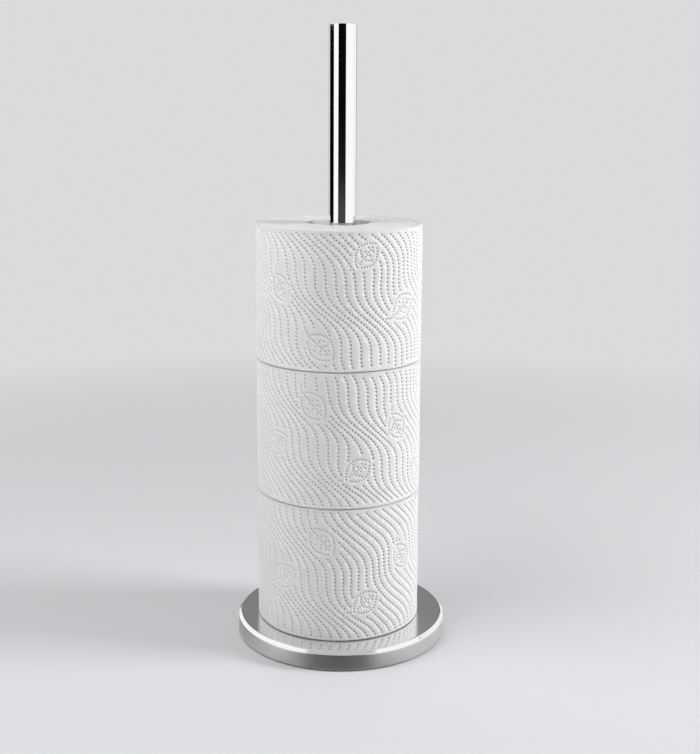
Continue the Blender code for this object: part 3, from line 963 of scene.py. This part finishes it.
def build_cap(chrome):
    """Plug in the pole's end: plain face with a rounded edge, open underneath."""
    radius = CAP_HIGH.x
    inner = radius - CAP_WALL
    underside = CAP_HIGH.z - CAP_WALL
    corners = [
        (CAP_MIDDLE_RADIUS, CAP_HIGH.z, 0, 0),
        (radius, CAP_HIGH.z, CAP_EDGE_ROUND, 0),
        (radius, CAP_LOW.z, 0, 0),
        (inner, CAP_LOW.z, 0, 0),
        (inner, underside, 0, 0),
        (CAP_MIDDLE_RADIUS, underside, 0, 0),
    ]
    return lathe("chrome_pole_cap", rounded(corners), [chrome], columns=128)


def build_pad(foam):
    outer = PAD_HIGH.x
    corners = [
        (PAD_HOLE_RADIUS, PAD_HIGH.z, 0, 0),
        (outer, PAD_HIGH.z, 0, 0),
        (outer, PAD_LOW.z, PAD_EDGE_ROUND, 0),
        (PAD_HOLE_RADIUS, PAD_LOW.z, PAD_EDGE_ROUND, 0),
    ]
    return lathe("foam_base_pad", rounded(corners), [foam], columns=192)


# Studio

def direction(azimuth_degrees):
    """Level direction from the object; 0 is towards the camera and 90 is the photograph's right."""
    azimuth = math.radians(azimuth_degrees)
    return Vector((math.sin(azimuth), -math.cos(azimuth), 0))


def lamp(name, azimuth, elevation, distance, size, level):
    """A square soft lamp aimed at the rolls; level is how bright it makes white paper that faces it."""
    data = bpy.data.lights.new(name, "AREA")
    data.size = size
    data.energy = level * math.pi**2 * distance**2
    piece = bpy.data.objects.new(name, data)
    bpy.context.scene.collection.objects.link(piece)
    target = Vector((0, 0, AIM_HEIGHT))
    rise = math.radians(elevation)
    upward = Vector((0, 0, math.sin(rise)))
    piece.location = target + distance * (direction(azimuth) * math.cos(rise) + upward)
    piece.rotation_euler = (target - piece.location).to_track_quat("-Z", "Y").to_euler()
    piece.visible_camera = False
    piece.visible_glossy = False


def card(name, azimuths, radius, levels):
    """A curved card round the object that only its reflections show, between two azimuths.

    Levels are (height, brightness) pairs from its lower to its upper edge.
    """
    low = levels[0][0]
    high = levels[-1][0]
    points = []
    for height in (low, high):
        for column in range(CARD_COLUMNS + 1):
            azimuth = azimuths[0] + (azimuths[1] - azimuths[0]) * column / CARD_COLUMNS
            points.append(direction(azimuth) * radius + Vector((0, 0, height)))
    faces = []
    for column in range(CARD_COLUMNS):
        above = column + CARD_COLUMNS + 1
        faces.append((column, column + 1, above + 1, above))
    nodes = Nodes(name, (0, 0, 0), 1.0)
    share = nodes.span(nodes.coordinate("Z"), 0.0, 1.0, low, high)
    stops = [((height - low) / (high - low), (level, level, level)) for height, level in levels]
    only_seen(make_mesh(name, points, faces, [glowing(nodes, nodes.ramp(share, stops))]))


def flat_card(name, height, rows, stops):
    """A level card that only reflections show.

    Rows give the spot at an azimuth, and stops are (azimuth, brightness) pairs.
    """
    azimuths = [stop[0] for stop in stops]
    steps = np.linspace(azimuths[0], azimuths[-1], FLAT_CARD_COLUMNS + 1)
    brightness = np.interp(steps, azimuths, [stop[1] for stop in stops])
    points = [spot(azimuth) + Vector((0, 0, height)) for spot in rows for azimuth in steps]
    faces = []
    for row in range(len(rows) - 1):
        start = row * len(steps)
        for column in range(start, start + FLAT_CARD_COLUMNS):
            beyond = column + len(steps)
            faces.append((column, beyond, beyond + 1, column + 1))
    nodes = Nodes(name, (0, 0, 0), 1.0)
    glow = nodes.add("ShaderNodeAttribute", attribute_name="glow").outputs["Fac"]
    piece = make_mesh(name, points, faces, [glowing(nodes, glow)])
    layer = piece.data.attributes.new("glow", "FLOAT", "POINT")
    layer.data.foreach_set("value", np.tile(brightness, len(rows)))
    only_seen(piece)


def ring(radius):
    """Spots at this radius, by azimuth."""
    return lambda azimuth: direction(azimuth) * radius


def seen_off_pole(share):
    """Spots that the pole mirrors to the front, at this share of the way from it to the roll's edge."""
    def spot(azimuth):
        angle = math.radians(azimuth)
        edge = ROLL_RADIUS_MM * MM
        near = POLE_RADIUS + POLE_CARD_GAP
        reach = math.sqrt(edge**2 - (near * math.sin(angle)) ** 2) - near * math.cos(angle)
        return direction(azimuth) * near + direction(2 * azimuth) * reach * share
    return spot


def glowing(nodes, light):
    nodes.link(light, nodes.shader.inputs["Emission Color"])
    nodes.shader.inputs["Emission Strength"].default_value = 1.0
    nodes.gloss(0.0)
    return nodes.material


def only_seen(piece):
    """Leaves a stage piece visible in reflections alone."""
    piece.visible_camera = False
    piece.visible_diffuse = False
    piece.visible_shadow = False


def floor_material():
    """Pale floor that keeps the object's shadow and turns into the background far away."""
    nodes = Nodes("pale_floor", FLOOR_COLOUR, 1.0)
    cloud = nodes.noise(nodes.place(), scale=1.2, detail=3.0, roughness=0.5)
    darker = tuple(0.985 * channel for channel in FLOOR_COLOUR)
    nodes.colour(nodes.fade(cloud, darker, FLOOR_COLOUR))
    nodes.gloss(0.0)
    far = nodes.add("ShaderNodeEmission")
    far.inputs["Color"].default_value = (*BACKGROUND, 1)
    mix = nodes.add("ShaderNodeMixShader")
    fade = nodes.span(nodes.radius(), 0.0, 1.0, FLOOR_FADE_START, FLOOR_FADE_END)
    nodes.link(fade, mix.inputs["Fac"])
    nodes.link(nodes.shader.outputs["BSDF"], mix.inputs[1])
    nodes.link(far.outputs["Emission"], mix.inputs[2])
    nodes.link(mix.outputs["Shader"], nodes.tree.nodes["Material Output"].inputs["Surface"])
    return nodes.material


def build_floor():
    half = FLOOR_HALF_WIDTH
    corners = [(-half, -half, 0), (half, -half, 0), (half, half, 0), (-half, half, 0)]
    make_mesh("floor", corners, [(0, 1, 2, 3)], [floor_material()])


def build_world():
    """Soft ambient light, with the pale background for the camera, for metal and for glass."""
    world = bpy.data.worlds.new("studio")
    bpy.context.scene.world = world
    world.use_nodes = True
    tree = world.node_tree
    tree.nodes.clear()
    path = tree.nodes.new("ShaderNodeLightPath")
    seen = path.outputs["Is Camera Ray"]
    for kind in ("Is Glossy Ray", "Is Transmission Ray"):
        either = tree.nodes.new("ShaderNodeMath")
        either.operation = "MAXIMUM"
        tree.links.new(seen, either.inputs[0])
        tree.links.new(path.outputs[kind], either.inputs[1])
        seen = either.outputs[0]
    mix = tree.nodes.new("ShaderNodeMixShader")
    tree.links.new(seen, mix.inputs[0])
    for place, (colour, strength) in enumerate(((AMBIENT_COLOUR, AMBIENT), (BACKGROUND, 1.0))):
        light = tree.nodes.new("ShaderNodeBackground")
        light.inputs["Color"].default_value = (*colour, 1)
        light.inputs["Strength"].default_value = strength
        tree.links.new(light.outputs[0], mix.inputs[1 + place])
    output = tree.nodes.new("ShaderNodeOutputWorld")
    tree.links.new(mix.outputs[0], output.inputs["Surface"])


def build_lamps():
    lamp("key_right", azimuth=84, elevation=22, distance=1.5, size=0.5, level=0.76)
    lamp("fill_left", azimuth=-62, elevation=44, distance=0.95, size=0.8, level=0.63)
    lamp("overhead", azimuth=170, elevation=78, distance=1.4, size=0.9, level=0.12)


def white_card(name, azimuths, low_level=WHITE_CARD, high_level=WHITE_CARD):
    card(name, azimuths, SURROUND_RADIUS, ((0.0, low_level), (SURROUND_HEIGHT, high_level)))


def build_surround():
    """Upright cards where the polished pole and chamfer look, with the dark in front of the object."""
    card("front_dark", (-37, 27), 1.6, ((0.0, 0.1), (0.17, 0.06), (0.25, 0.012), (0.36, 0.003), (1.9, 0.0)))
    card("left_back_dark_low", (-134, -79), 1.2, ((0.0, 0.02), (0.25, 0.0)))
    card("left_back_dark_high", (-135.5, -79), 3.0, ((0.001, 0.0), (0.64, 0.0)))
    white_card("left_white", (-150, -37))
    white_card("right_white", (27, 105.5))
    white_card("right_back_white", (108, 150), 1.0, 1.05)
    card("behind_grey", (150, 210), SURROUND_RADIUS, ((0.001, REAR_GREY), (3.5, REAR_GREY)))
    card("overhead_grey", (-58, 58), 1.0, ((1.5, 0.58), (3.2, 0.58)))


def build_level_cards():
    """Level cards: on the floor for the skirt and the pole, and on the top roll for the pole's foot."""
    skirt_tones = (
        (-180, 0.62), (-110, 0.42), (-80, 0.35), (-61, 0.43), (-44, 0.47), (-29, 0.27), (-15, 0.14),
        (0, 0.12), (15, 0.14), (29, 0.32), (44, 0.55), (63, 0.55), (110, 0.6), (180, 0.62),
    )
    flat_card("floor_tones", CARD_LIFT, (ring(SKIRT_RING), ring(FLOOR_RING)), skirt_tones)
    surround_tones = (
        (-180, REAR_GREY), (-151, REAR_GREY), (-150, WHITE_FLOOR), (-135.5, WHITE_FLOOR),
        (-134.5, 0.0), (-79, 0.0), (-78, WHITE_FLOOR), (-38, WHITE_FLOOR), (-37, 0.06), (27, 0.06),
        (28, WHITE_FLOOR), (149, WHITE_FLOOR), (150, REAR_GREY), (180, REAR_GREY),
    )
    flat_card("far_floor_tones", CARD_LIFT, (ring(FLOOR_RING), ring(FAR_RING)), surround_tones)
    pole_tones = (
        (-62, 0.0), (-40, 0.01), (-39, WHITE_FLOOR), (-19.5, WHITE_FLOOR),
        (-18.5, 0.06), (13, 0.06), (14, WHITE_FLOOR), (52, WHITE_FLOOR),
    )
    spots = tuple(seen_off_pole(step / POLE_CARD_ROWS) for step in range(POLE_CARD_ROWS + 1))
    top_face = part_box("core_top")[1].z
    flat_card("pole_tones", top_face + POLE_CARD_LIFT, spots, pole_tones)


def build_camera():
    data = bpy.data.cameras.new("camera")
    data.sensor_fit = "AUTO"
    data.sensor_width = SENSOR_MM
    data.lens = FOCAL_PX * SENSOR_MM / IMAGE_HEIGHT_PX
    data.shift_x = (IMAGE_WIDTH_PX / 2 - AXIS_X_PX) / IMAGE_HEIGHT_PX
    data.shift_y = (AXIS_Y_PX - IMAGE_HEIGHT_PX / 2) / IMAGE_HEIGHT_PX
    data.clip_start = NEAR_CLIP
    camera = bpy.data.objects.new("camera", data)
    bpy.context.scene.collection.objects.link(camera)
    camera.location = (0, -CAMERA_BACK, CAMERA_HEIGHT)
    look = Matrix.Rotation(math.pi / 2 - CAMERA_PITCH, 4, "X") @ Matrix.Rotation(CAMERA_ROLL, 4, "Z")
    camera.rotation_euler = look.to_euler()
    bpy.context.scene.camera = camera


def settle(piece, body, slot, *nodes):
    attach(piece, body)
    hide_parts(*nodes)


def dress_node(name, material):
    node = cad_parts[name]
    node.data.materials.clear()
    node.data.materials.append(material)


def build_object():
    chrome = mirror_material("polished_chrome", (0.90, 0.90, 0.91), 0.02, 0.05)
    polished = mirror_material("polished_steel", (0.86, 0.86, 0.87), 0.06, 0.11)
    zinc = zinc_material()
    tissue = [tissue_material(), tissue_end_material()]
    cardboard = cardboard_material()
    satin = satin_material("satin_steel", tone=0.95, haze=0.08, low=0.13, high=0.19, stretch=0.5)
    brushed = satin_material("brushed_steel", tone=0.86, haze=0.0, low=0.30, high=0.36, stretch=0.7)
    settle(build_cover(satin, polished, brushed), "stand", "satin_steel", "base_cover")
    settle(build_tube(chrome), "stand", "polished_chrome", "pole_tube")
    settle(build_cap(chrome), "stand", "polished_chrome", "pole_cap")
    settle(build_pad(foam_material()), "stand", "floor_pad", "base_pad")
    dress_node("base_weight", cast_iron_material())
    for name in ("base_screw", "base_spring_washer", "base_washer", "pole_insert"):
        dress_node(name, zinc)
    for place, name in enumerate(ROLLS):
        settle(build_paper(place, tissue), "roll_" + name, "tissue", "paper_" + name)
        settle(build_core(place, cardboard), "roll_" + name, "cardboard_core", "core_" + name)


build_camera()
build_object()
build_floor()
build_world()
build_lamps()
build_surround()
build_level_cards()
bpy.context.scene.view_settings.view_transform = "Standard"
